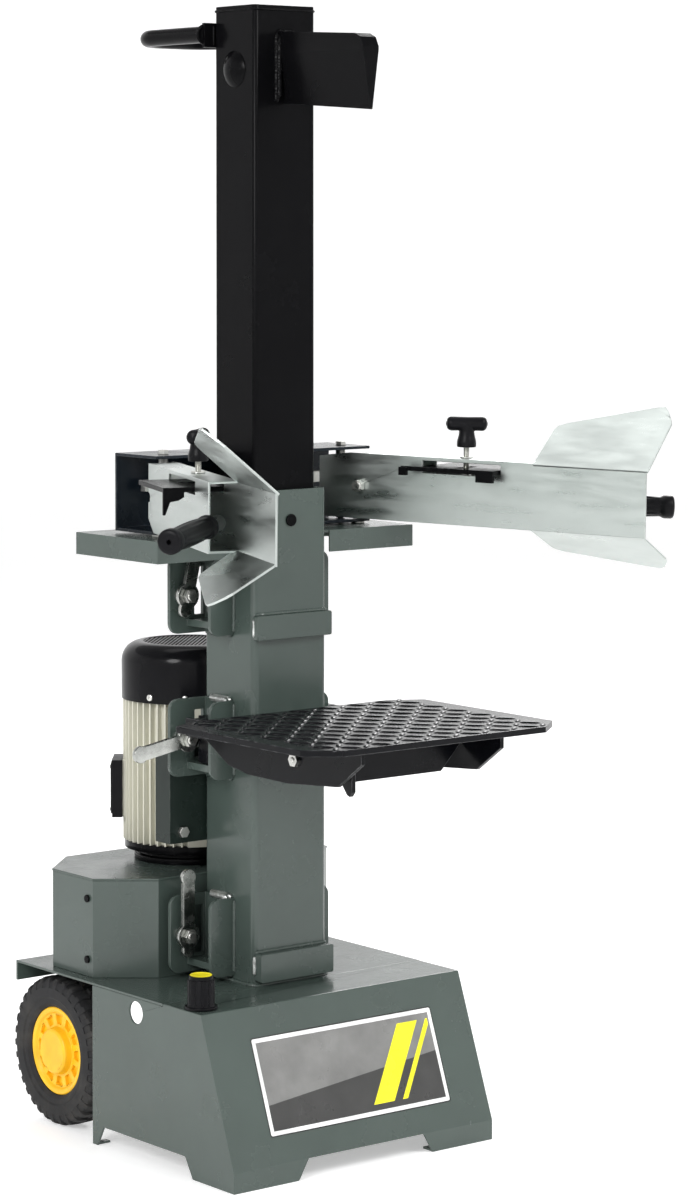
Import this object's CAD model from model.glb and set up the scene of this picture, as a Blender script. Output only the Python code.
import math
import random

import bmesh
import bpy
from mathutils import Matrix, Vector


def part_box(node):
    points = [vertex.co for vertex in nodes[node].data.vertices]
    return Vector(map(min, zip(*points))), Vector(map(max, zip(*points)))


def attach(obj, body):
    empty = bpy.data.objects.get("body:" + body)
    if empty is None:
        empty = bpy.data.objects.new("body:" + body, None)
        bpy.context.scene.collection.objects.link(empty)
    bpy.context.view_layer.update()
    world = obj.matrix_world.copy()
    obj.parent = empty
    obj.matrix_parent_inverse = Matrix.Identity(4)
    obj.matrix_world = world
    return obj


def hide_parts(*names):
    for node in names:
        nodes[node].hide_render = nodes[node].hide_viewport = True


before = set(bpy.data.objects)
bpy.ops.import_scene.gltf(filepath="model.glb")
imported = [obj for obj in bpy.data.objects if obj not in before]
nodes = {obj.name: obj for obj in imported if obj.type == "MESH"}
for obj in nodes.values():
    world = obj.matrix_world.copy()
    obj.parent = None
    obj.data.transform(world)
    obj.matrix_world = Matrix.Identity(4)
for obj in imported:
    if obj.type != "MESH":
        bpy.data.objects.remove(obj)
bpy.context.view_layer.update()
rng = random.Random(11)

MM = 0.001


# ---------------------------------------------------------------- mesh helpers

def make_object(name, bm, material, smooth_angle=35):
    """A mesh object from a bmesh, with outward normals and edges sharper than the angle kept sharp."""
    bmesh.ops.remove_doubles(bm, verts=bm.verts, dist=1e-6)
    bmesh.ops.recalc_face_normals(bm, faces=bm.faces)
    mesh = bpy.data.meshes.new(name)
    bm.to_mesh(mesh)
    bm.free()
    for m in material if isinstance(material, (list, tuple)) else [material]:
        mesh.materials.append(m)
    obj = bpy.data.objects.new(name, mesh)
    bpy.context.scene.collection.objects.link(obj)
    mesh.shade_smooth()
    mesh.set_sharp_from_angle(angle=math.radians(smooth_angle))
    return obj


def add_grid(bm, rings, close_rings=False, close_loop=True, material=0, to_world=Matrix()):
    """Skins rings of points. close_loop joins each ring's ends, close_rings the last ring to the first."""
    rows = [[bm.verts.new(to_world @ Vector(p)) for p in ring] for ring in rings]
    count = len(rows) if close_rings else len(rows) - 1
    for i in range(count):
        a, b = rows[i], rows[(i + 1) % len(rows)]
        span = len(a) if close_loop else len(a) - 1
        for j in range(span):
            k = (j + 1) % len(a)
            face = bm.faces.new((a[j], a[k], b[k], b[j]))
            face.material_index = material
    return rows


def add_caps(bm, rows, material=0):
    for ring in (rows[0], rows[-1]):
        bm.faces.new(ring).material_index = material


def add_lathe(bm, profile, to_world=Matrix(), steps=48, material=0, capped=True):
    """Turns (radius, height) points about local Z."""
    rings = []
    for radius, height in profile:
        ring = []
        for i in range(steps):
            a = math.tau * i / steps
            ring.append((radius * math.cos(a), radius * math.sin(a), height))
        rings.append(ring)
    rows = add_grid(bm, rings, material=material, to_world=to_world)
    if capped:
        add_caps(bm, rows, material)


def add_prism(bm, outline, low, high, to_world=Matrix(), material=0):
    """A flat outline of (x, y) points, carried from z low to z high."""
    rings = [[(x, y, z) for x, y in outline] for z in (low, high)]
    rows = add_grid(bm, rings, material=material, to_world=to_world)
    add_caps(bm, rows, material)


def rounded_outline(half_w, half_h, r, steps=5):
    """A rectangle with round corners about the origin."""
    points = []
    for corner, (sx, sy) in enumerate(((1, 1), (-1, 1), (-1, -1), (1, -1))):
        for i in range(steps + 1):
            a = math.radians(90 * (corner + i / steps))
            points.append((sx * (half_w - r) + r * math.cos(a), sy * (half_h - r) + r * math.sin(a)))
    return points


def add_tube(bm, points, radius_at, sides=10, material=0):
    """A round tube along points; radius_at takes the distance along it."""
    pts = [Vector(p) for p in points]
    rings, along = [], 0.0
    up = Vector((0, 0, 1))
    for i, p in enumerate(pts):
        ahead = pts[min(i + 1, len(pts) - 1)] - pts[max(i - 1, 0)]
        ahead.normalize()
        ref = up if abs(ahead.dot(up)) < 0.9 else Vector((1, 0, 0))
        u = ahead.cross(ref).normalized()
        v = ahead.cross(u)
        if i:
            along += (p - pts[i - 1]).length
        r = radius_at(along)
        rings.append([p + (u * math.cos(t) + v * math.sin(t)) * r
                      for t in (math.tau * k / sides for k in range(sides))])
    rows = add_grid(bm, rings, material=material)
    add_caps(bm, rows, material)


def resample(points, step):
    """Evenly spaced points along a polyline."""
    out = []
    for a, b in zip(points[:-1], points[1:]):
        a, b = Vector(a), Vector(b)
        count = max(1, round((b - a).length / step))
        out += [a.lerp(b, i / count) for i in range(count)]
    return out + [Vector(points[-1])]


def add_weld(bm, points, radius):
    """A weld bead laid as overlapping ripples, slightly uneven."""
    ripple = radius * 1.1
    phase = rng.random() * math.tau
    path = []
    for p in resample(points, radius * 0.28):
        path.append(p + Vector([rng.uniform(-1, 1) * radius * 0.06 for _ in range(3)]))
    total = sum((b - a).length for a, b in zip(path[:-1], path[1:]))

    def bead(along):
        end = min(1.0, 0.45 + min(along, total - along) / radius * 0.6)
        swell = 0.9 + 0.12 * abs(math.sin(along / ripple * math.pi + phase))
        return radius * end * swell

    add_tube(bm, path, bead)


def placed(x=0.0, y=0.0, z=0.0, axis=(0, 0, 1)):
    """Puts local Z along axis at a point."""
    turn = Vector(axis).to_track_quat("Z", "Y").to_matrix().to_4x4()
    return Matrix.Translation((x, y, z)) @ turn


# ---------------------------------------------------------------- materials

class Shader:
    """A node material built in steps on one Principled shader."""

    def __init__(self, name, roughness, metallic=0.0, specular=0.5, coat=0.0, coat_roughness=0.1):
        self.material = bpy.data.materials.new(name)
        self.material.use_nodes = True
        self.tree = self.material.node_tree
        self.bsdf = self.tree.nodes["Principled BSDF"]
        self.bsdf.inputs["Roughness"].default_value = roughness
        self.bsdf.inputs["Metallic"].default_value = metallic
        self.bsdf.inputs["Specular IOR Level"].default_value = specular
        self.bsdf.inputs["Coat Weight"].default_value = coat
        self.bsdf.inputs["Coat Roughness"].default_value = coat_roughness
        self.place = self.node("ShaderNodeTexCoord").outputs["Object"]

    def node(self, kind, **values):
        n = self.tree.nodes.new(kind)
        for key, value in values.items():
            setattr(n, key, value)
        return n

    def link(self, a, b):
        self.tree.links.new(a, b)

    def noise(self, scale, detail=3.0, stretch=(1, 1, 1), rough=0.55, turn=(0, 0, 0)):
        mapping = self.node("ShaderNodeMapping")
        mapping.inputs["Scale"].default_value = stretch
        mapping.inputs["Rotation"].default_value = turn
        self.link(self.place, mapping.inputs["Vector"])
        n = self.node("ShaderNodeTexNoise")
        n.inputs["Scale"].default_value = scale
        n.inputs["Detail"].default_value = detail
        n.inputs["Roughness"].default_value = rough
        self.link(mapping.outputs["Vector"], n.inputs["Vector"])
        return n.outputs["Fac"]

    def spread(self, value, low, high, to_low=0.0, to_high=1.0):
        m = self.node("ShaderNodeMapRange")
        m.inputs["From Min"].default_value = low
        m.inputs["From Max"].default_value = high
        m.inputs["To Min"].default_value = to_low
        m.inputs["To Max"].default_value = to_high
        self.link(value, m.inputs["Value"])
        return m.outputs["Result"]

    def times(self, a, b):
        m = self.node("ShaderNodeMath", operation="MULTIPLY")
        self.link(a, m.inputs[0])
        self.link(b, m.inputs[1])
        return m.outputs[0]

    def mix(self, mask, a, b):
        """Colours or sockets a and b mixed by a mask."""
        m = self.node("ShaderNodeMix", data_type="RGBA")
        self.link(mask, m.inputs["Factor"])
        for value, socket in ((a, m.inputs[6]), (b, m.inputs[7])):
            if isinstance(value, tuple):
                socket.default_value = (*value, 1)
            else:
                self.link(value, socket)
        return m.outputs[2]

    def edges(self, width, low=0.02, high=0.14):
        """1 on edges that stand out or in, 0 on flat ground."""
        bevel = self.node("ShaderNodeBevel", samples=4)
        bevel.inputs["Radius"].default_value = width
        dot = self.node("ShaderNodeVectorMath", operation="DOT_PRODUCT")
        self.link(bevel.outputs["Normal"], dot.inputs[0])
        self.link(self.node("ShaderNodeNewGeometry").outputs["Normal"], dot.inputs[1])
        inverse = self.node("ShaderNodeMath", operation="SUBTRACT")
        inverse.inputs[0].default_value = 1.0
        self.link(dot.outputs["Value"], inverse.inputs[1])
        return self.spread(inverse.outputs[0], low, high)

    def colour(self, socket):
        self.link(socket, self.bsdf.inputs["Base Color"])

    def roughen(self, value, low, high):
        self.link(self.spread(value, 0.3, 0.7, low, high), self.bsdf.inputs["Roughness"])

    def bump(self, *layers):
        """Bump from (height socket, distance in metres) layers, each on top of the last."""
        normal = None
        for height, distance in layers:
            b = self.node("ShaderNodeBump")
            b.inputs["Distance"].default_value = distance
            b.inputs["Strength"].default_value = 1.0
            self.link(height, b.inputs["Height"])
            if normal:
                self.link(normal, b.inputs["Normal"])
            normal = b.outputs["Normal"]
        self.link(normal, self.bsdf.inputs["Normal"])


def tone(colour, factor):
    return tuple(min(1.0, c * factor) for c in colour)


def paint(name, base, roughness=0.35, specular=0.5, coat=0.0, wear=None, wear_amount=0.5, peel=0.00004):
    """Sprayed paint: slow drift of tone, faint dust, orange peel and rubbed edges."""
    s = Shader(name, roughness, specular=specular, coat=coat)
    drift = s.noise(5, 4)
    dust = s.noise(38, 6, rough=0.7)
    body = s.mix(s.spread(drift, 0.3, 0.7), tone(base, 0.9), tone(base, 1.1))
    body = s.mix(s.spread(dust, 0.5, 0.9, 0, 0.2), body, tone(base, 1.35))
    if wear:
        rubbed = s.times(s.edges(0.0012), s.spread(s.noise(55, 4), 0.42, 0.62, 0, wear_amount))
        body = s.mix(rubbed, body, wear)
    s.colour(body)
    s.roughen(s.noise(14, 5), roughness - 0.07, roughness + 0.1)
    s.bump((s.noise(420, 2), peel), (s.noise(30, 2), peel * 4))
    return s.material


def bright_metal(name, base, roughness, stretch=(1, 1, 1), scale=60.0, mottled=0.1, turn=(0, 0, 0)):
    """Bare or zinc-coated metal: cloudy tone, fine drawn lines and small dull marks."""
    s = Shader(name, roughness, metallic=1.0)
    cloud = s.noise(9, 5, rough=0.6)
    lines = s.noise(scale, 4, stretch=stretch, turn=turn)
    marks = s.noise(130, 3, rough=0.7)
    body = s.mix(s.spread(cloud, 0.3, 0.7), tone(base, 1 - mottled), tone(base, 1 + mottled))
    body = s.mix(s.spread(marks, 0.64, 0.78, 0, 0.25), body, tone(base, 0.72))
    s.colour(body)
    s.roughen(lines, roughness - 0.1, roughness + 0.12)
    s.bump((lines, 0.00003), (s.noise(22, 2), 0.0003))
    return s.material


def plastic(name, base, roughness=0.45, grain=260.0, depth=0.00004, specular=0.4):
    """Moulded plastic with a fine grain and slightly polished patches."""
    s = Shader(name, roughness, specular=specular)
    s.colour(s.mix(s.spread(s.noise(24, 4), 0.3, 0.7), tone(base, 0.85), tone(base, 1.18)))
    s.roughen(s.noise(17, 4), roughness - 0.08, roughness + 0.1)
    s.bump((s.noise(grain, 3), depth))
    return s.material


def rubber(name):
    s = Shader(name, 0.7, specular=0.3)
    dust = s.noise(26, 6, rough=0.7)
    s.colour(s.mix(s.spread(dust, 0.45, 0.75), (0.014, 0.014, 0.015), (0.05, 0.048, 0.045)))
    s.roughen(dust, 0.6, 0.85)
    s.bump((s.noise(300, 3), 0.00006))
    return s.material


def weld_metal(name):
    s = Shader(name, 0.38, metallic=1.0)
    heat = s.noise(60, 4)
    s.colour(s.mix(s.spread(heat, 0.35, 0.65), (0.36, 0.37, 0.36), (0.78, 0.8, 0.78)))
    s.roughen(s.noise(120, 3), 0.25, 0.5)
    s.bump((s.noise(350, 3), 0.0001))
    return s.material


GREY_GREEN = (0.056, 0.076, 0.067)
MAT = {
    "paint": paint("grey_green_paint", GREY_GREEN, 0.22, 0.5, wear=(0.30, 0.33, 0.30), wear_amount=0.2),
    "black": paint("black_gloss_paint", (0.003, 0.003, 0.0035), 0.2, 0.06,
                   wear=(0.07, 0.07, 0.07), wear_amount=0.3),
    "table": paint("black_table_paint", (0.003, 0.0033, 0.0045), 0.22, 0.14,
                   wear=(0.42, 0.42, 0.44), wear_amount=0.6),
    "bracket": paint("dark_blue_paint", (0.008, 0.012, 0.017), 0.24, 0.2, wear=(0.2, 0.22, 0.24)),
    "guide": paint("dark_green_paint", (0.010, 0.017, 0.014), 0.26, 0.25, wear=(0.2, 0.22, 0.2)),
    "cream": paint("cream_motor_paint", (0.60, 0.59, 0.50), 0.42, 0.4),
    "sheet": bright_metal("arm_sheet_metal", (0.53, 0.57, 0.55), 0.33, stretch=(1, 1, 6),
                          scale=12, mottled=0.03),
    "zinc": bright_metal("zinc_plate", (0.62, 0.62, 0.59), 0.33, mottled=0.22, scale=90),
    "lever": bright_metal("zinc_lever", (0.42, 0.43, 0.41), 0.24, mottled=0.3, scale=70),
    "steel": bright_metal("machined_steel", (0.55, 0.56, 0.57), 0.28, stretch=(1, 1, 30), scale=20),
    "chrome": bright_metal("chromed_rod", (0.80, 0.81, 0.83), 0.14, mottled=0.04, scale=40),
    "cast": paint("cast_metal", (0.26, 0.27, 0.27), 0.5, 0.4),
    "copper": paint("varnished_winding", (0.24, 0.10, 0.035), 0.4, 0.5),
    "plastic": plastic("black_moulded_plastic", (0.004, 0.004, 0.005), 0.34, specular=0.12),
    "fan_cover": plastic("black_fan_cover", (0.005, 0.005, 0.006), 0.17,
                         grain=60, depth=0.00006, specular=0.12),
    "pad": plastic("guide_pad_plastic", (0.62, 0.58, 0.46)),
    "orange": plastic("orange_hub_plastic", (0.93, 0.49, 0.010), 0.4, grain=120, specular=0.45),
    "yellow": plastic("yellow_disc_plastic", (0.90, 0.74, 0.01), 0.38, grain=140, specular=0.45),
    "green": plastic("green_button_plastic", (0.03, 0.26, 0.06), 0.3),
    "rubber": rubber("tyre_rubber"),
    "weld": weld_metal("weld_metal"),
    "label_white": plastic("label_white_ink", (0.82, 0.83, 0.82), 0.3, grain=500, depth=0.00001),
    "label_black": plastic("label_black_ink", (0.012, 0.012, 0.012), 0.3, grain=500, depth=0.00001),
    "label_light": plastic("label_light_ink", (0.19, 0.19, 0.185), 0.32, grain=500, depth=0.00001),
    "label_dark": plastic("label_dark_ink", (0.045, 0.045, 0.044), 0.32, grain=500, depth=0.00001),
    "label_yellow": plastic("label_yellow_ink", (0.86, 0.80, 0.02), 0.3, grain=500, depth=0.00001),
}

NODE_LOOKS = {
    "paint": "base_shell fender_plate column column_plates ear_brackets shelf cover_box cover_lid oil_tank",
    "bracket": "control_bracket",
    "guide": "motor_brace",
    "zinc": "bright_fasteners cylinder_pin axle rod_pin hydraulic_pipes left_knuckle right_knuckle "
            "control_rod",
    "black": "black_screws mast wedge lift_handle pin_plugs motor_end_shields left_claw right_claw",
    "table": "table_frame table_top",
    "cream": "motor_housing",
    "copper": "stator",
    "plastic": "switch_box left_grip right_grip left_claw_knob right_claw_knob cooling_fan oil_cap",
    "fan_cover": "fan_cover",
    "cast": "pump_body valve_block cylinder_gland cylinder_barrel",
    "pad": "guide_pads",
    "chrome": "piston_rod",
    "sheet": "left_arm right_arm",
    "lever": "low_lever_left low_lever_right mid_lever_left mid_lever_right top_lever_left top_lever_right",
    "rubber": "left_tyre right_tyre",
    "orange": "left_hub right_hub",
    "steel": "motor_rotor pump_idler_gear",
    "green": "start_button",
}

# width of the rounded edges in mm, where it differs from the usual
ROUNDING = {
    "base_shell": 1.2, "fender_plate": 0.9, "column": 1.2, "shelf": 1.2, "cover_lid": 0.9,
    "cover_box": 0.8, "mast": 1.3, "wedge": 0.6, "table_top": 1.4, "left_arm": 0.7,
    "right_arm": 0.7, "switch_box": 0.8, "left_claw_knob": 1.0, "right_claw_knob": 1.0,
    "left_hub": 0.9, "right_hub": 0.9, "motor_housing": 0.4, "hydraulic_pipes": 0.0,
    "pump_idler_gear": 0.2, "motor_rotor": 0.2, "oil_cap": 0.5, "lift_handle": 0.0}
USUAL_ROUNDING = 0.7


def dress_nodes():
    """Gives every CAD node its material and softens its edges."""
    for look, names in NODE_LOOKS.items():
        for name in names.split():
            obj = nodes[name]
            for slot in obj.material_slots:
                slot.material = MAT[look]
            width = ROUNDING.get(name, USUAL_ROUNDING) * MM
            if width:
                weld = obj.modifiers.new("join_edges", "WELD")
                weld.merge_threshold = 1e-5
                if name == "column":
                    planar = obj.modifiers.new("one_face_per_plane", "DECIMATE")
                    planar.decimate_type = "DISSOLVE"
                    planar.angle_limit = math.radians(0.3)
                bevel = obj.modifiers.new("round_edges", "BEVEL")
                bevel.width = width
                bevel.segments = 2
                bevel.limit_method = "ANGLE"
                bevel.angle_limit = math.radians(32)
                bevel.use_clamp_overlap = False
                bevel.harden_normals = True
                bevel.miter_outer = "MITER_ARC"


dress_nodes()


# ---------------------------------------------------------------- measures taken from the frame

base_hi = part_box("base_shell")[1]
column_lo, column_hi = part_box("column")
mast_lo, mast_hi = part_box("mast")
wedge_lo, wedge_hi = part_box("wedge")
ear_lo, ear_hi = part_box("ear_brackets")
fan_lo, fan_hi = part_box("fan_cover")
table_lo, table_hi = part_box("table_top")
cap_lo, cap_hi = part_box("oil_cap")
switch_lo, switch_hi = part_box("switch_box")
handle_lo, handle_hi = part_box("lift_handle")

MOTOR_X = 0.0
MOTOR_Y = (fan_lo.y + fan_hi.y) / 2
MOTOR_R = (fan_hi.x - fan_lo.x) / 2
PLATE_AZIMUTH = -116.25       # degrees round the motor from +X
PLATE_Z = 0.47
PLATE_R = 88.5 * MM
SWITCH_AZIMUTH = 142.5
SWITCH_FACE_R = 102 * MM


def mirrored(matrix, side):
    """The matrix for the right side, or its mirror image in the plane X = 0 for the left."""
    return Matrix.Scale(-1, 4, (1, 0, 0)) @ matrix if side < 0 else matrix


def side_name(side):
    return "left" if side < 0 else "right"


# ---------------------------------------------------------------- wheels

TREAD_PITCHES = 34
# across the tyre in mm: distance from the outer face, radius, and which row of lugs the point belongs to
TYRE_PROFILE = [(42, 59, ""), (44, 61, ""), (46, 64, ""), (46.4, 70, ""), (48, 72.5, ""), (48, 85, ""),
                (47.2, 88.5, "in"), (46, 93.5, "in"), (43.5, 97.5, "in"), (38, 99.6, "in"), (26.5, 100, "in"),
                (25.5, 96.4, ""), (22.5, 96.4, ""),
                (21.5, 100, "out"), (10, 99.6, "out"), (4.5, 97.5, "out"), (2, 93.5, "out"),
                (0.8, 88.5, "out"),
                (0, 85, ""), (0, 72.5, ""), (1.6, 70, ""), (2, 64, ""), (4, 61, ""), (6, 59, "")]
LUG_STEPS = [(0.00, 0, 0), (0.04, 1, 0), (0.44, 1, 0), (0.50, 0, 0), (0.54, 0, 1), (0.94, 0, 1)]
LUG_DEPTH = 3.4


def tyre(side):
    """A solid tyre with two staggered rows of lugs that run down onto the shoulders."""
    name = side_name(side) + "_tyre"
    lo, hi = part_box(name)
    outer_x = hi.x if side > 0 else lo.x
    centre = (lo + hi) / 2
    bm = bmesh.new()
    rings = []
    for pitch in range(TREAD_PITCHES):
        for part, high_in, high_out in LUG_STEPS:
            angle = math.tau * (pitch + part) / TREAD_PITCHES
            ring = []
            for inset, radius, row in TYRE_PROFILE:
                low = (row == "in" and not high_in) or (row == "out" and not high_out)
                r = radius - (LUG_DEPTH if low else 0)
                u = min(max(inset, 1.0), 47.0) if low else inset
                ring.append((outer_x - side * u * MM, centre.y + r * MM * math.cos(angle),
                             centre.z + r * MM * math.sin(angle)))
            rings.append(ring)
    add_grid(bm, rings, close_rings=True, close_loop=True)
    obj = make_object(name + "_treaded", bm, MAT["rubber"], 28)
    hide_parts(name)
    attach(obj, side_name(side) + "_wheel")


def hub_trim(side):
    """A raised ring round the hub cap, a shallow dome inside it and a floor behind the pockets."""
    lo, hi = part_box(side_name(side) + "_hub")
    outer_x = hi.x if side > 0 else lo.x
    centre = (lo + hi) / 2
    bm = bmesh.new()
    ring_and_dome = ((20, -1.0), (24.5, -0.6), (25.5, -0.1), (24.5, 0.4), (22, 0.4), (20.5, -0.4),
                     (12, 0.1), (5, 0.4), (0.4, 0.45))
    profile = [(r * MM, h * MM) for r, h in ring_and_dome]
    inset = 0.5 * MM
    turn = placed(outer_x - side * inset, centre.y, centre.z, (side, 0, 0))
    add_lathe(bm, profile, turn, 48)
    floor_in, floor_out, floor_low, floor_high = 32.5 * MM, 50.5 * MM, -18 * MM, -16.5 * MM
    pocket_floor = [(floor_in, floor_low), (floor_out, floor_low), (floor_out, floor_high),
                    (floor_in, floor_high), (floor_in, floor_low)]
    add_lathe(bm, pocket_floor, turn, 64, capped=False)
    obj = make_object(side_name(side) + "_hub_cap", bm, MAT["orange"])
    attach(obj, side_name(side) + "_wheel")


for wheel_side in (-1, 1):
    tyre(wheel_side)
    hub_trim(wheel_side)


# ---------------------------------------------------------------- motor

def fan_cover():
    """Pressed cover with a rounded shoulder and a woven grille across the top."""
    top, bottom = fan_hi.z, fan_lo.z
    shoulder, grille_r = 26 * MM, 61 * MM
    bm = bmesh.new()
    outer, inner = [], []
    for i in range(9):
        a = math.radians(90 * i / 8)
        outer.append((MOTOR_R - shoulder * (1 - math.cos(a)), top - shoulder * (1 - math.sin(a))))
    for i in range(9):
        a = math.radians(90 * i / 8)
        r = shoulder - 1.6 * MM
        inner.append((MOTOR_R - shoulder + r * math.cos(a), top - shoulder + r * math.sin(a)))
    profile = [(MOTOR_R - 1.6 * MM, bottom), (MOTOR_R, bottom), (MOTOR_R, bottom + 4 * MM)]
    profile += outer + [(grille_r, top), (grille_r - 1 * MM, top - 1.2 * MM)]
    profile += inner[::-1]
    rings = []
    steps = 96
    for i in range(steps):
        a = math.tau * i / steps
        rings.append([(MOTOR_X + r * math.cos(a), MOTOR_Y + r * math.sin(a), z) for r, z in profile])
    add_grid(bm, rings, close_rings=True, close_loop=True)
    obj = make_object("fan_cover_shell", bm, MAT["fan_cover"])
    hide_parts("fan_cover")
    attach(obj, "frame")

    bm = bmesh.new()
    pitch, wire = 5.2 * MM, 0.75 * MM
    reach = grille_r + 0.5 * MM
    z = top - 1.6 * MM
    rows = int(reach / pitch)
    for lean in (1, -1):
        along = Vector((math.cos(math.radians(45)), lean * math.sin(math.radians(45)), 0))
        across = Vector((-along.y, along.x, 0))
        for k in range(-rows, rows + 1):
            off = k * pitch
            half = math.sqrt(max(0.0, reach ** 2 - off ** 2))
            if half < 2 * MM:
                continue
            middle = Vector((MOTOR_X, MOTOR_Y, z + lean * wire * 0.7)) + across * off
            add_tube(bm, [middle - along * half, middle + along * half], lambda d: wire, sides=6)
    obj = make_object("fan_cover_grille", bm, MAT["fan_cover"])
    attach(obj, "frame")


def screw_head(bm, to_world, radius, height, cross=True):
    """A domed head with a cross recess cut as a sunken star."""
    steps = 24
    rings = []
    for f, h in ((1.0, 0.0), (1.0, 0.35), (0.92, 0.7), (0.72, 0.92), (0.5, 1.0)):
        ring = []
        for i in range(steps):
            a = math.tau * i / steps
            ring.append((radius * f * math.cos(a), radius * f * math.sin(a), height * h))
        rings.append(ring)
    inner = []
    for i in range(steps):
        a = math.tau * i / steps
        arm = max(abs(math.cos(a)), abs(math.sin(a)))
        reach = 0.42 if (cross and arm > 0.93) else 0.16
        inner.append((radius * reach * math.cos(a), radius * reach * math.sin(a), height))
    rings.append(inner)
    rings.append([(x * 0.8, y * 0.8, height * 0.35) for x, y, _ in inner])
    rows = add_grid(bm, rings, to_world=to_world)
    add_caps(bm, rows)


def motor_trim():
    """Screws round the fan cover, a blank plate on the housing and a lid on the switch box."""
    bm = bmesh.new()
    for degrees in (20, 110, 200, 232, 290, 320):
        a = math.radians(degrees)
        out = Vector((math.cos(a), math.sin(a), 0))
        at = Vector((MOTOR_X, MOTOR_Y, fan_lo.z + 8 * MM)) + out * MOTOR_R
        screw_head(bm, placed(at.x, at.y, at.z, out), 4.6 * MM, 2.6 * MM)
    obj = make_object("fan_cover_screws", bm, MAT["zinc"])
    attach(obj, "frame")

    bm = bmesh.new()
    a = math.radians(PLATE_AZIMUTH)
    out = Vector((math.cos(a), math.sin(a), 0))
    at = Vector((MOTOR_X, MOTOR_Y, PLATE_Z)) + out * PLATE_R
    turn = placed(at.x, at.y, at.z, out)
    up = turn.to_3x3().inverted() @ Vector((0, 0, 1))
    half_w, half_h = (11 * MM, 48 * MM) if abs(up.y) > 0.5 else (48 * MM, 11 * MM)
    outline = rounded_outline(half_w, half_h, 2 * MM)
    add_prism(bm, outline, -0.2 * MM, 0.8 * MM, turn)
    for end in (-1, 1):
        screw_head(bm, turn @ Matrix.Translation(up * end * 43 * MM) @ Matrix.Translation((0, 0, 0.8 * MM)),
                   1.9 * MM, 0.9 * MM, cross=False)
    obj = make_object("motor_blank_plate", bm, MAT["steel"])
    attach(obj, "frame")

    bm = bmesh.new()
    middle = (switch_lo + switch_hi) / 2
    azimuth = math.radians(SWITCH_AZIMUTH)
    outward = Vector((math.cos(azimuth), math.sin(azimuth), 0))
    along = Vector((-outward.y, outward.x, 0))
    hub_of_motor = Vector((MOTOR_X, MOTOR_Y, 0))
    face_at = hub_of_motor + outward * SWITCH_FACE_R
    face = placed(face_at.x, face_at.y, middle.z, outward)
    up = face.to_3x3().inverted() @ Vector((0, 0, 1))
    tall = abs(up.y) > 0.5
    w, h = 26 * MM, 35 * MM
    frame_outline = rounded_outline(w, h, 5 * MM) if tall else rounded_outline(h, w, 5 * MM)
    button_at = up * (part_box("start_button")[0].z + 9 * MM - middle.z)
    rings = [[(x, y, 0) for x, y in frame_outline], [(x, y, 1.6 * MM) for x, y in frame_outline],
             [(x * 0.94, y * 0.95, 2.2 * MM) for x, y in frame_outline]]
    hole = [(button_at.x + 12.5 * MM * math.cos(t), button_at.y + 12.5 * MM * math.sin(t))
            for t in (math.atan2(p[1] - button_at.y, p[0] - button_at.x) for p in frame_outline)]
    rings += [[(x, y, 2.2 * MM) for x, y in hole], [(x, y, 0) for x, y in hole]]
    add_grid(bm, rings, close_rings=True, to_world=face)
    for sx in (-1, 1):
        for sy in (-1, 1):
            across, upward = (w - 6 * MM, h - 6 * MM) if tall else (h - 6 * MM, w - 6 * MM)
            px, py = sx * across, sy * upward
            screw_head(bm, face @ Matrix.Translation((px, py, 2.1 * MM)), 2.2 * MM, 1.0 * MM)
    obj = make_object("switch_box_lid", bm, MAT["plastic"])
    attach(obj, "frame")

    bm = bmesh.new()
    inlet = hub_of_motor + outward * (SWITCH_FACE_R - 7 * MM)
    for offset in (-9, 0, 9):
        pin = inlet + along * offset * MM
        add_lathe(bm, [(r * MM, z * MM) for r, z in ((1.9, 0), (1.9, 10), (1.4, 11.5), (0.5, 12))],
                  placed(pin.x, pin.y, switch_lo.z + 15 * MM, (0, 0, -1)), 16)
    obj = make_object("mains_inlet_pins", bm, MAT["zinc"])
    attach(obj, "frame")


fan_cover()
motor_trim()


# ---------------------------------------------------------------- ram: welds and cap

def ram_welds():
    r = 1.7 * MM
    z = mast_hi.z - 6 * MM
    half_w, half_d = (mast_hi.x - mast_lo.x) / 2, (mast_hi.y - mast_lo.y) / 2
    ring = [(x, y, z) for x, y in rounded_outline(half_w + 0.2 * MM, half_d + 0.2 * MM, 6 * MM)]
    bm = bmesh.new()
    add_weld(bm, ring + [ring[0]], r)
    root = mast_lo.y
    blade = 13 * MM
    for side in (-1, 1):
        add_weld(bm, [(side * (blade + 1.5 * MM), root - 1 * MM, wedge_lo.z + 14 * MM),
                      (side * (blade + 1.5 * MM), root - 1 * MM, wedge_hi.z - 2 * MM)], 4.2 * MM)
        # wavy second pass that spreads onto the cheek of the blade
        add_weld(bm, [(side * (blade + 0.2 * MM), root - 5 * MM, wedge_lo.z + 20 * MM),
                      (side * (blade + 0.2 * MM), root - 6 * MM, wedge_hi.z - 6 * MM)], 3.4 * MM)
    add_weld(bm, [(-blade, root - 1 * MM, wedge_hi.z), (blade, root - 1 * MM, wedge_hi.z)], 3.2 * MM)
    plate_y = mast_hi.y + 2.5 * MM
    for side in (-1, 1):
        add_weld(bm, [(side * (half_w + 0.5 * MM), plate_y - 2 * MM, handle_lo.z + 2 * MM),
                      (side * (half_w + 0.5 * MM), plate_y - 2 * MM, handle_hi.z - 3 * MM)], 1.8 * MM)
        leg = 62 * MM
        centre_z = 1456 * MM
        circle = [(side * leg + 11.5 * MM * math.cos(t), mast_hi.y + 5.6 * MM,
                   centre_z + 11.5 * MM * math.sin(t))
                  for t in (math.tau * k / 20 for k in range(21))]
        add_weld(bm, circle, 2.0 * MM)
    obj = make_object("ram_weld_beads", bm, MAT["black"])
    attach(obj, "ram")


ram_welds()


# ---------------------------------------------------------------- column: welds on the brackets and plates

EAR_FEET = (220, 480, 669)
EAR_H = 103


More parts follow.
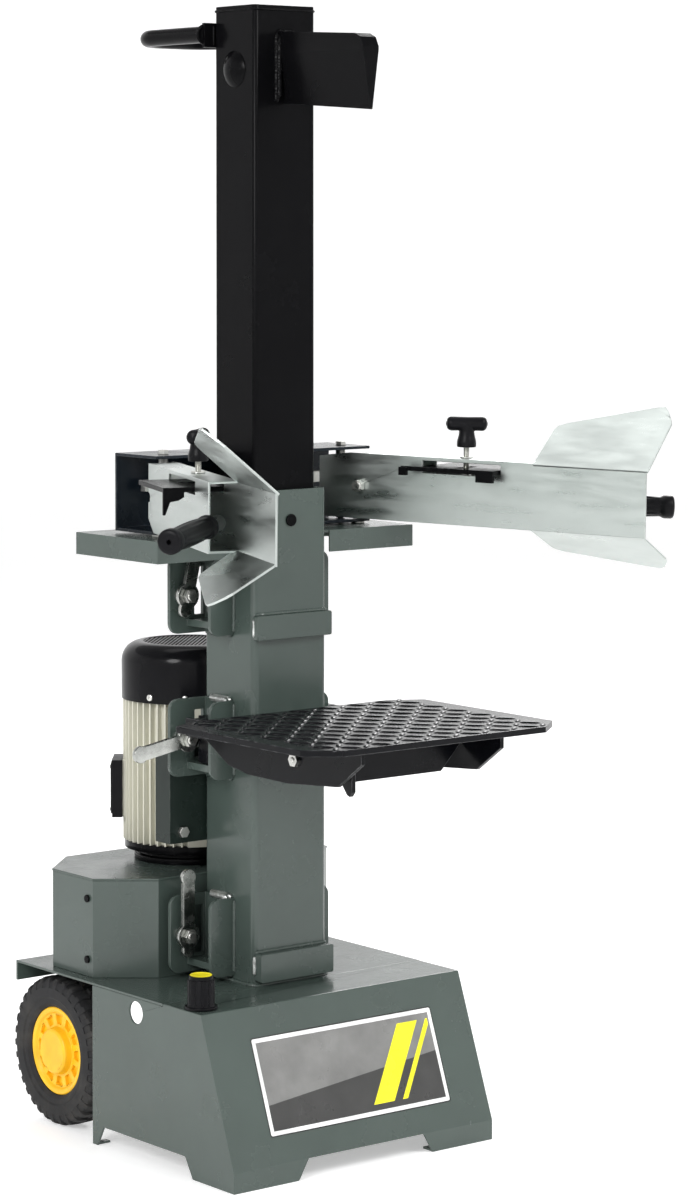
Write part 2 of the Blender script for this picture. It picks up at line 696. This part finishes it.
def column_welds():
    side_x = column_hi.x
    bright = bmesh.new()
    painted = bmesh.new()
    for side in (-1, 1):
        for foot in EAR_FEET:
            z0, z1 = foot * MM, (foot + EAR_H) * MM
            x = side * (side_x + 2.0 * MM)
            add_weld(bright, [(x, ear_lo.y + 3 * MM, z1 + 0.5 * MM),
                              (x, ear_hi.y - 14 * MM, z1 + 0.5 * MM)], 4.6 * MM)
            add_weld(bright, [(side * (side_x + 7 * MM), ear_lo.y + 5 * MM, z1 + 0.2 * MM),
                              (side * (side_x + 7 * MM), ear_hi.y - 20 * MM, z1 + 0.2 * MM)], 4.2 * MM)
            add_weld(painted, [(x, ear_lo.y + 2 * MM, z0 - 0.5 * MM),
                               (x, ear_hi.y - 4 * MM, z0 - 0.5 * MM)], 2.8 * MM)
            add_weld(painted, [(side * (side_x + 0.6 * MM), ear_lo.y - 1 * MM, z0 + 4 * MM),
                               (side * (side_x + 0.6 * MM), ear_lo.y - 1 * MM, z1 - 4 * MM)], 2.6 * MM)
            # ledge and ear plates against the web
            add_weld(painted, [(side * (side_x + 6.5 * MM), ear_lo.y + 7.5 * MM, z0 + 22 * MM),
                               (side * (side_x + 6.5 * MM), ear_lo.y + 7.5 * MM, z1 - 6 * MM)], 2.2 * MM)
    for top in (698, 256):
        add_weld(painted, [(-58 * MM, column_lo.y - 0.6 * MM, (top + 1) * MM),
                           (58 * MM, column_lo.y - 0.6 * MM, (top + 1) * MM)], 2.6 * MM)
        for side in (-1, 1):
            add_weld(bright, [(side * (side_x + 0.8 * MM), column_lo.y - 1.2 * MM, (top - 28) * MM),
                              (side * (side_x + 0.8 * MM), column_lo.y - 1.2 * MM, (top - 4) * MM)], 2.4 * MM)
    # foot of the column where it passes through the top of the base
    top = base_hi.z + 0.5 * MM
    edge = [(x, y, top) for x, y in rounded_outline(side_x + 1 * MM, -column_lo.y + 1 * MM, 8 * MM)]
    add_weld(painted, edge + [edge[0]], 3.0 * MM)
    for name, bm, look in (("bracket_top_welds", bright, "weld"), ("column_welds", painted, "paint")):
        obj = make_object(name, bm, MAT[look])
        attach(obj, "frame")


column_welds()


# ---------------------------------------------------------------- table

def table_marks():
    """Crossed lens-shaped ribs on top; a lug, two side bolts and weld beads below."""
    pitch, half_l, half_w, rise = 24 * MM, 14 * MM, 3.9 * MM, 2.0 * MM
    top = table_hi.z
    corner = 46 * MM
    bm = bmesh.new()
    columns = int((table_hi.x - 14 * MM) / pitch)
    rows = int((table_hi.y - table_lo.y - 24 * MM) / pitch)
    for i in range(-columns, columns + 1):
        for j in range(rows + 1):
            x = i * pitch
            y = table_lo.y + 13 * MM + j * pitch
            near_side = table_hi.x - abs(x)
            near_end = min(y - table_lo.y, table_hi.y - y)
            if near_side + near_end < corner or near_side < 9 * MM or near_end < 9 * MM:
                continue
            lean = math.radians(45 if (i + j) % 2 else -45) + rng.uniform(-0.05, 0.05)
            turn = Matrix.Translation((x, y, top)) @ Matrix.Rotation(lean, 4, "Z")
            rings = []
            for level, size in ((-0.3, 1.0), (0.0, 1.0), (0.45, 0.86), (0.8, 0.62), (0.96, 0.34)):
                ring = []
                for k in range(20):
                    a = math.tau * k / 20
                    # pointed ends: the width falls away as a circle's arc does
                    ring.append((half_l * size * math.cos(a),
                                 half_w * size * math.sin(a) * abs(math.sin(a)) ** 0.35, rise * level))
                rings.append(ring)
            rows_made = add_grid(bm, rings, to_world=turn)
            add_caps(bm, rows_made)
    obj = make_object("table_grip_ribs", bm, MAT["table"], 50)
    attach(obj, "table")

    under_lo, under_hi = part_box("table_frame")
    front = -272 * MM
    lug = placed(-79 * MM, front, under_lo.z + 7 * MM, (1, 0, 0))
    down = lug.to_3x3().inverted() @ Vector((0, 0, -1))
    ahead = lug.to_3x3().inverted() @ Vector((0, -1, 0))
    bm = bmesh.new()
    outline = [down * 0 + ahead * -6 * MM, down * 12 * MM + ahead * 4 * MM, down * 14 * MM + ahead * 9 * MM,
               down * 8 * MM + ahead * 14 * MM, down * -18 * MM + ahead * 14 * MM,
               down * -22 * MM + ahead * 0]
    add_prism(bm, [(p.x, p.y) for p in outline], -3 * MM, 3 * MM, lug)
    obj = make_object("table_front_lug", bm, MAT["table"])
    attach(obj, "table")

    bm = bmesh.new()
    side_x = under_hi.x
    bolt_y, bolt_z = -215 * MM, 535 * MM
    for side in (-1, 1):
        hexagon = [(9 * MM * math.cos(math.radians(60 * k)), 9 * MM * math.sin(math.radians(60 * k)))
                   for k in range(6)]
        add_prism(bm, hexagon, 0, 5 * MM, placed(side * side_x, bolt_y, bolt_z, (side, 0, 0)))
        bolt_end = placed(side * (side_x + 5 * MM), bolt_y, bolt_z, (side, 0, 0))
        screw_head(bm, bolt_end, 4 * MM, 2 * MM, cross=False)
    obj = make_object("table_side_bolts", bm, MAT["zinc"])
    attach(obj, "table")

    bm = bmesh.new()
    for side in (-1, 1):
        for y in (-60, -150, -240, -310):
            x = side * (side_x + 0.5 * MM)
            add_weld(bm, [(x, y * MM, table_lo.z), (x, (y - 30) * MM, table_lo.z)], 2.2 * MM)
    obj = make_object("table_underside_welds", bm, MAT["table"])
    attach(obj, "table")


table_marks()


# ---------------------------------------------------------------- control arms

ARM = {"pivot": (147 * MM, 25 * MM), "splay": 20, "droop": 1, "tilt_ahead": 37.3 * MM, "tilt_z": 855.5 * MM}
GRIP_FROM = Vector((12, -292, -8)) * MM
GRIP_TO = Vector((116.7, -442.6, -13.4)) * MM
GRIP_LENGTH = 143 * MM


def arm_matrix(side):
    """Local x outward from the arm, -y ahead along it, z up from the tilt bolt."""
    m = (Matrix.Translation((*ARM["pivot"], 0)) @ Matrix.Rotation(math.radians(ARM["splay"]), 4, "Z")
         @ Matrix.Translation((0, -ARM["tilt_ahead"], ARM["tilt_z"]))
         @ Matrix.Rotation(math.radians(ARM["droop"]), 4, "X")
         @ Matrix.Translation((0, ARM["tilt_ahead"], 0)))
    return mirrored(m, side)


FLUTES = 12
GRIP_STEPS = 96
FLUTE_DEPTH = 0.9 * MM


def grip(side):
    """Moulded handle: a smooth swell with lengthwise flutes, a collar at the root and a domed end cap."""
    run = (GRIP_TO - GRIP_FROM).normalized()
    start = GRIP_TO - run * GRIP_LENGTH
    turn = arm_matrix(side) @ placed(start.x, start.y, start.z, run)
    end = GRIP_LENGTH
    profile = [(10.3 * MM, 0, 0), (13.8 * MM, 0, 0), (14.8 * MM, 1.5 * MM, 0), (14.8 * MM, 5 * MM, 0),
               (13.6 * MM, 8 * MM, 0)]
    first, last, count = 10 * MM, end - 19 * MM, 44
    for i in range(count + 1):
        t = i / count
        swell = 12.9 + 1.9 * math.sin(math.pi * t) ** 0.8
        profile.append((swell * MM, first + (last - first) * t, FLUTE_DEPTH * min(1.0, 8 * t, 8 * (1 - t))))
    profile += [(13.4 * MM, end - 17 * MM, 0), (14.8 * MM, end - 14.5 * MM, 0), (15.4 * MM, end - 12 * MM, 0),
                (15.4 * MM, end - 4 * MM, 0), (14.6 * MM, end - 1.6 * MM, 0), (12.6 * MM, end - 0.3 * MM, 0),
                (9 * MM, end, 0), (3.2 * MM, end, 0), (2.6 * MM, end - 0.7 * MM, 0),
                (2.5 * MM, end - 9 * MM, 0),
                (0.4 * MM, end - 9.3 * MM, 0)]
    bm = bmesh.new()
    rings = []
    for radius, z, depth in profile:
        ring = []
        for k in range(GRIP_STEPS):
            angle = math.tau * k / GRIP_STEPS
            away = radius - depth * (0.5 + 0.5 * math.cos(FLUTES * angle))
            ring.append((away * math.cos(angle), away * math.sin(angle), z))
        rings.append(ring)
    add_caps(bm, add_grid(bm, rings, to_world=turn))
    obj = make_object(side_name(side) + "_hand_grip", bm, MAT["plastic"], 40)
    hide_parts(side_name(side) + "_grip")
    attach(obj, side_name(side) + "_arm")


def knob(side):
    """Clamping knob: flared neck, cross bar with domed ends, threaded stud, washer and foot."""
    knob_x, ahead = 8 * MM, 190 * MM
    turn = arm_matrix(side) @ Matrix.Translation((knob_x, -ahead, 0))
    bm = bmesh.new()
    neck = [(12.2, 59), (12.8, 60), (12.8, 66), (12.2, 69), (10.8, 74), (10.0, 80), (10.2, 84), (10.4, 90)]
    add_lathe(bm, [(r * MM, z * MM) for r, z in neck], turn, 40)
    bar = turn @ Matrix.Translation((0, 0, 90 * MM)) @ Matrix.Rotation(math.radians(-58), 4, "Z") \
        @ Matrix.Rotation(math.radians(90), 4, "Y")
    half = 28.0
    profile = []
    for i in range(25):
        t = -1 + 2 * i / 24
        bulge = 9.2 + 0.6 * abs(t) ** 2
        end = math.sqrt(max(0.0, 1 - max(0.0, (abs(t) - 0.72) / 0.28) ** 2))
        profile.append((max(0.3, bulge * end) * MM, half * t * MM))
    add_lathe(bm, profile, bar, 32)
    obj = make_object(side_name(side) + "_knob_moulding", bm, MAT["plastic"], 40)
    blend = obj.modifiers.new("one_moulding", "REMESH")
    blend.mode = "VOXEL"
    blend.voxel_size = 0.7 * MM
    blend.use_smooth_shade = True
    soften = obj.modifiers.new("soften", "SMOOTH")
    soften.iterations = 3
    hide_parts(side_name(side) + "_claw_knob")
    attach(obj, side_name(side) + "_knob")

    bm = bmesh.new()
    thread = [(3.4, 16)]
    z, pitch = 17.0, 1.25
    while z < 59:
        thread += [(4.0, z), (3.45, z + pitch / 2)]
        z += pitch
    add_lathe(bm, [(r * MM, h * MM) for r, h in thread + [(3.4, 60)]], turn, 24)
    add_lathe(bm, [(r * MM, h * MM) for r, h in ((9.6, 18), (10, 18.4), (10, 24.9), (9.6, 25.3))], turn, 32)
    add_lathe(bm, [(r * MM, h * MM) for r, h in ((8.8, 44.5), (9, 44.7), (9, 46.2), (8.8, 46.4))], turn, 32)
    obj = make_object(side_name(side) + "_knob_stud", bm, MAT["zinc"])
    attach(obj, side_name(side) + "_knob")


for arm_side in (-1, 1):
    grip(arm_side)
    knob(arm_side)


# ---------------------------------------------------------------- base: label, filler cap

def front_label():
    """A plain two-tone label with a white border and two yellow stripes on the sloped panel."""
    foot = Vector((0, -215 * MM, 26 * MM))
    head = Vector((0, -145 * MM, 213 * MM))
    up = (head - foot).normalized()
    out = Vector((1, 0, 0)).cross(up).normalized()
    low, high = 58 * MM, 176 * MM
    left, right = -146 * MM, 151 * MM
    rise = (high - low) / up.z
    centre = foot + up * ((low + high) / 2 - foot.z) / up.z + Vector(((left + right) / 2, 0, 0))
    frame_axes = Matrix((Vector((1, 0, 0)), up, out)).transposed().to_4x4()
    turn = Matrix.Translation(centre + out * 0.05 * MM) @ frame_axes
    half_w, half_h = (right - left) / 2, rise / 2
    step = 0.12 * MM
    bm = bmesh.new()
    add_prism(bm, rounded_outline(half_w, half_h, 3 * MM), 0, step, turn, 0)
    add_prism(bm, rounded_outline(half_w - 1.6 * MM, half_h - 1.6 * MM, 2.5 * MM), step, 2 * step, turn, 1)
    w, h = half_w - 7 * MM, half_h - 7 * MM
    add_prism(bm, [(-w, -h), (w, -h), (w, h), (-w, h)], 2 * step, 3 * step, turn, 2)
    add_prism(bm, [(-w, -h), (w, -h), (w, 0.10 * h), (-w, -0.42 * h)], 3 * step, 4 * step, turn, 3)
    add_prism(bm, [(0.16 * w, -0.86 * h), (0.40 * w, -0.86 * h), (0.86 * w, 0.86 * h), (0.62 * w, 0.86 * h)],
              4 * step, 5 * step, turn, 4)
    add_prism(bm, [(0.50 * w, -0.86 * h), (0.56 * w, -0.86 * h), (0.98 * w, 0.72 * h), (0.98 * w, 0.86 * h),
                   (0.96 * w, 0.86 * h)], 4 * step, 5 * step, turn, 4)
    looks = [MAT["label_" + ink] for ink in ("black", "white", "light", "dark", "yellow")]
    obj = make_object("front_label", bm, looks)
    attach(obj, "frame")


def filler_cap_trim():
    """Yellow disc with a raised rim on the filler cap."""
    centre = (cap_lo + cap_hi) / 2
    profile = [(13.6, 0.0), (14.2, 0.4), (14.2, 1.3), (13.6, 1.7), (12.2, 1.7), (11.8, 1.1), (0.4, 1.1)]
    bm = bmesh.new()
    z = cap_hi.z - 0.9 * MM
    add_lathe(bm, [(r * MM, h * MM) for r, h in profile], placed(centre.x, centre.y, z), 40)
    obj = make_object("filler_cap_disc", bm, MAT["yellow"])
    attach(obj, "filler_cap")


front_label()
filler_cap_trim()


# ---------------------------------------------------------------- stage, light and camera

def studio():
    s = Shader("pale_floor", 0.6, specular=0.1)
    s.colour(s.mix(s.spread(s.noise(0.8, 3), 0.3, 0.7), (0.86, 0.86, 0.86), (0.90, 0.90, 0.90)))
    s.bsdf.inputs["Emission Color"].default_value = (1, 1, 1, 1)
    s.bsdf.inputs["Emission Strength"].default_value = 0.4
    bm = bmesh.new()
    rings = []
    for radius, height in ((0.5, 0), (14, 0), (16, 0.3), (18, 1.2), (19.5, 3), (20, 6), (20, 12)):
        rings.append([(radius * math.cos(t), radius * math.sin(t), height)
                      for t in (math.tau * k / 96 for k in range(96))])
    rows = add_grid(bm, rings)
    bm.faces.new(rows[0])
    floor = make_object("studio_floor", bm, s.material)

    world = bpy.data.worlds.new("studio_world")
    bpy.context.scene.world = world
    world.use_nodes = True
    world.node_tree.nodes["Background"].inputs["Color"].default_value = (1, 1, 1, 1)
    world.node_tree.nodes["Background"].inputs["Strength"].default_value = 0.42

    target = Vector((0, -0.05, 0.7))
    for name, place, size, power in (("key", (-3.4, -1.6, 2.6), 1.6, 85),
                                     ("front", (1.2, -3.6, 3.8), 2.2, 105),
                                     ("rim", (3.2, 2.6, 2.8), 1.8, 70), ("top", (0.2, 0.6, 4.2), 2.5, 22)):
        light = bpy.data.lights.new(name, "AREA")
        light.shape = "DISK"
        light.size = size
        light.energy = power
        obj = bpy.data.objects.new(name, light)
        obj.location = place
        obj.rotation_euler = (target - Vector(place)).to_track_quat("-Z", "Y").to_euler()
        bpy.context.scene.collection.objects.link(obj)


def camera():
    data = bpy.data.cameras.new("camera")
    data.sensor_width = 36
    data.lens = 104.07
    data.shift_y = -0.20
    data.clip_end = 100
    obj = bpy.data.objects.new("camera", data)
    obj.location = (-2.7657, -3.6420, 1.2046)
    pitch_down = 2.213
    obj.rotation_euler = (math.radians(90 - pitch_down), 0, math.radians(-38.518))
    bpy.context.scene.collection.objects.link(obj)
    bpy.context.scene.camera = obj


studio()
camera()
bpy.context.scene.view_settings.view_transform = "Standard"
